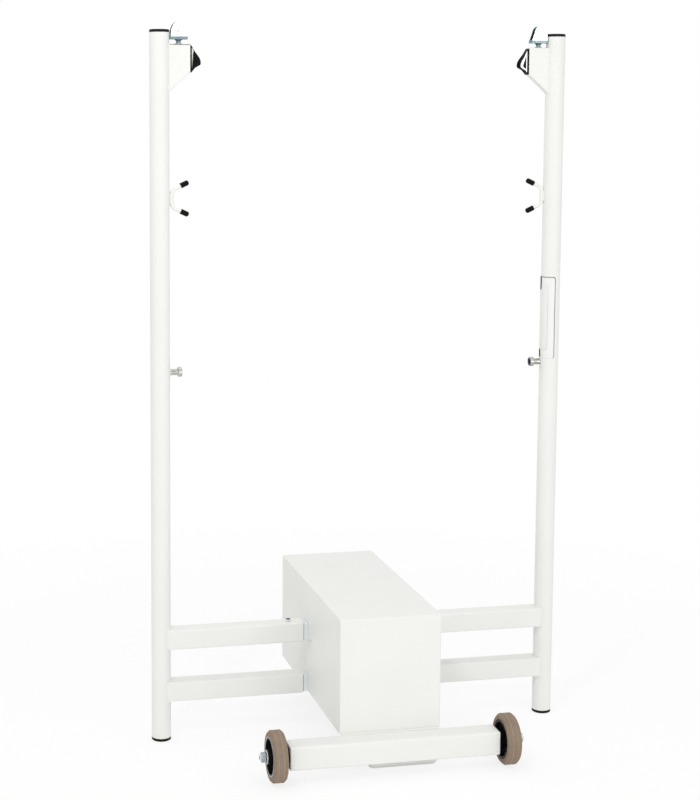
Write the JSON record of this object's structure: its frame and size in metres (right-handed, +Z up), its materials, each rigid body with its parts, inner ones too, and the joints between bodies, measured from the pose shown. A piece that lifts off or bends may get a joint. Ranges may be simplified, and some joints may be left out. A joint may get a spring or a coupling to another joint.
{
  "type": "badminton net post",
  "caption": "Mobile double badminton post: upright tubes with cord guides, jam cleats and horns, on rails that slide over the stubs of a wheeled ballast box.",
  "frame": {"origin": "on the floor under the middle of the whole object", "axes": "+X from the left post to the right post, +Y away from the wheels, +Z up"},
  "size_m": [0.9324, 0.6036, 1.5655],
  "materials": {
    "white_paint": "smooth semi-gloss powder coat, warm white",
    "zinc_plate": "bright zinc plating, bluish",
    "steel": "plain steel, lightly oiled",
    "black_nylon": "moulded glossy black nylon",
    "black_plastic": "moulded satin black plastic",
    "taupe_rubber": "non-marking taupe rubber, matt",
    "concrete": "cast concrete"
  },
  "bodies": {
    "base": {"ballast_box": "white_paint", "box_plate": "steel", "ballast_block": "concrete", "skid_tray": "white_paint", "axle_tube": "white_paint", "left_upper_stub": "zinc_plate", "left_lower_stub": "zinc_plate", "left_wheel_spindle": "zinc_plate", "left_wheel_washer": "zinc_plate", "left_wheel_nut": "zinc_plate", "right_upper_stub": "zinc_plate", "right_lower_stub": "zinc_plate", "right_wheel_spindle": "zinc_plate", "right_wheel_washer": "zinc_plate", "right_wheel_nut": "zinc_plate"},
    "left_frame": {"left_post_tube": "white_paint", "left_top_cap": "black_plastic", "left_post_foot": "black_plastic", "left_head_bracket": "white_paint", "left_guide_yoke": "zinc_plate", "left_guide_stud": "zinc_plate", "left_guide_pin": "zinc_plate", "left_jam_cleat": "black_nylon", "left_cleat_screw_lower": "steel", "left_cleat_screw_upper": "steel", "left_cord_horn": "white_paint", "left_horn_cap_upper": "black_plastic", "left_horn_cap_lower": "black_plastic", "left_tie_pin": "zinc_plate", "left_upper_rail": "white_paint", "left_lower_rail": "white_paint", "left_lock_screw": "steel"},
    "left_sheave": {"left_guide_sheave": "black_nylon"},
    "left_wheel": {"left_tyre": "taupe_rubber", "left_wheel_hub": "black_plastic", "left_wheel_bush": "steel"},
    "right_frame": {"right_post_tube": "white_paint", "right_top_cap": "black_plastic", "right_post_foot": "black_plastic", "right_head_bracket": "white_paint", "right_guide_yoke": "zinc_plate", "right_guide_stud": "zinc_plate", "right_guide_pin": "zinc_plate", "right_jam_cleat": "black_nylon", "right_cleat_screw_lower": "steel", "right_cleat_screw_upper": "steel", "right_cord_horn": "white_paint", "right_horn_cap_upper": "black_plastic", "right_horn_cap_lower": "black_plastic", "right_tie_pin": "zinc_plate", "right_upper_rail": "white_paint", "right_lower_rail": "white_paint", "right_lock_screw": "steel"},
    "right_sheave": {"right_guide_sheave": "black_nylon"},
    "right_wheel": {"right_tyre": "taupe_rubber", "right_wheel_hub": "black_plastic", "right_wheel_bush": "steel"}
  },
  "joints": [
    {"name": "left_frame_slide", "type": "slide", "parent": "base", "child": "left_frame", "axis": [-1, 0, 0], "range_m": [-0.012, 0.08]},
    {"name": "left_sheave_spin", "type": "hinge", "parent": "left_frame", "child": "left_sheave", "pos_m": [-0.40385, 0.03925, 1.5481], "axis": [0, 1, 0], "continuous": true},
    {"name": "left_wheel_spin", "type": "hinge", "parent": "base", "child": "left_wheel", "pos_m": [-0.251, -0.24825, 0.056], "axis": [1, 0, 0], "continuous": true},
    {"name": "right_frame_slide", "type": "slide", "parent": "base", "child": "right_frame", "axis": [1, 0, 0], "range_m": [-0.012, 0.08]},
    {"name": "right_sheave_spin", "type": "hinge", "parent": "right_frame", "child": "right_sheave", "pos_m": [0.40385, 0.03925, 1.5481], "axis": [0, 1, 0], "continuous": true},
    {"name": "right_wheel_spin", "type": "hinge", "parent": "base", "child": "right_wheel", "pos_m": [0.251, -0.24825, 0.056], "axis": [1, 0, 0], "continuous": true}
  ]
}
